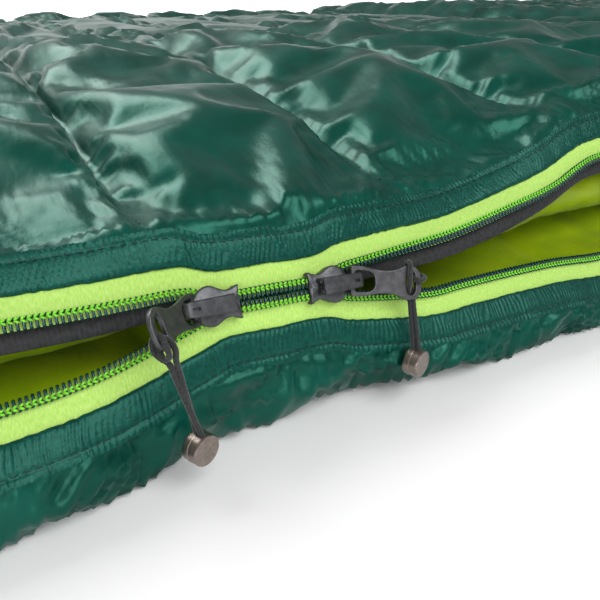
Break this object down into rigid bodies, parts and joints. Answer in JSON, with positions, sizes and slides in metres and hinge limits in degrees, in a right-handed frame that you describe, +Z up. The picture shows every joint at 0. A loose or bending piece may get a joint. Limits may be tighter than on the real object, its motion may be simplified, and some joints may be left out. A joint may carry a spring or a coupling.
{
  "type": "camp quilt",
  "caption": "Quilted camp quilt folded into a bag, with a side zip closed between two sliders and open on both sides of them, cord pulls and a lime lining.",
  "frame": {"origin": "middle of the quilt's outline, on the surface it lies on", "axes": "+X along the quilt toward its foot end, +Y from the zip edge to the far side seam, +Z up"},
  "size_m": [2, 0.8286, 0.0843],
  "materials": {
    "shell_nylon": "shiny dark green nylon",
    "insulation": "white loft",
    "lining_nylon": "soft lime nylon",
    "gathered_nylon": "dark green nylon, finely gathered",
    "facing_tape": "charcoal woven facing",
    "zip_tape": "lime woven tape",
    "zip_coil": "dark green nylon coil",
    "binding": "dark green binding",
    "slider_metal": "gunmetal satin",
    "spring_steel": "dark steel",
    "puller_metal": "gunmetal satin",
    "cord": "charcoal braid",
    "bead_metal": "warm grey metal"
  },
  "bodies": {
    "quilt": {"upper_shell": "shell_nylon", "upper_fill": "insulation", "upper_lining": "lining_nylon", "lower_shell": "shell_nylon", "lower_fill": "insulation", "lower_lining": "lining_nylon", "side_seam": "binding", "foot_panel": "shell_nylon", "upper_head_binding": "binding", "lower_head_binding": "binding", "draft_tube": "lining_nylon", "anti_snag_strip": "facing_tape", "upper_gather_strip": "gathered_nylon", "lower_gather_strip": "gathered_nylon", "upper_tape": "zip_tape", "lower_tape": "zip_tape", "upper_coil": "zip_coil", "lower_coil": "zip_coil", "upper_head_stop": "slider_metal", "upper_foot_stop": "slider_metal", "lower_head_stop": "slider_metal", "lower_foot_stop": "slider_metal"},
    "left_slider": {"left_slider_body": "slider_metal", "left_slider_bridge": "slider_metal", "left_slider_lock": "spring_steel"},
    "left_puller": {"left_puller": "puller_metal"},
    "left_pull_cord": {"left_cord": "cord", "left_bead": "bead_metal"},
    "right_slider": {"right_slider_body": "slider_metal", "right_slider_bridge": "slider_metal", "right_slider_lock": "spring_steel"},
    "right_puller": {"right_puller": "puller_metal"},
    "right_pull_cord": {"right_cord": "cord", "right_bead": "bead_metal"}
  },
  "joints": [
    {"name": "left_slider_slide", "type": "slide", "parent": "quilt", "child": "left_slider", "axis": [0.9981, 0, -0.0611], "range_m": [0, 0.0098], "deforming": ["upper_coil", "lower_coil", "upper_tape", "lower_tape"]},
    {"name": "left_puller_hinge", "type": "hinge", "parent": "left_slider", "child": "left_puller", "pos_m": [-0.03393, -0.39449, 0.0395], "axis": [-0.1361, 0.4142, 0.8999], "range_deg": [0, 66]},
    {"name": "left_cord_swing", "type": "hinge", "parent": "left_puller", "child": "left_pull_cord", "pos_m": [-0.04585, -0.40932, 0.0373], "axis": [-1, 0, 0], "range_deg": [0, 50]},
    {"name": "right_slider_slide", "type": "slide", "parent": "quilt", "child": "right_slider", "axis": [-0.9981, 0, 0.0611], "range_m": [0, 0.0098], "deforming": ["upper_coil", "lower_coil", "upper_tape", "lower_tape"]},
    {"name": "right_puller_hinge", "type": "hinge", "parent": "right_slider", "child": "right_puller", "pos_m": [0.01218, -0.39449, 0.03667], "axis": [-0.2448, -0.4142, -0.8766], "range_deg": [0, 112]},
    {"name": "right_cord_swing", "type": "hinge", "parent": "right_puller", "child": "right_pull_cord", "pos_m": [0.02846, -0.4005, 0.0276], "axis": [-1, 0, 0], "range_deg": [0, 60]}
  ]
}
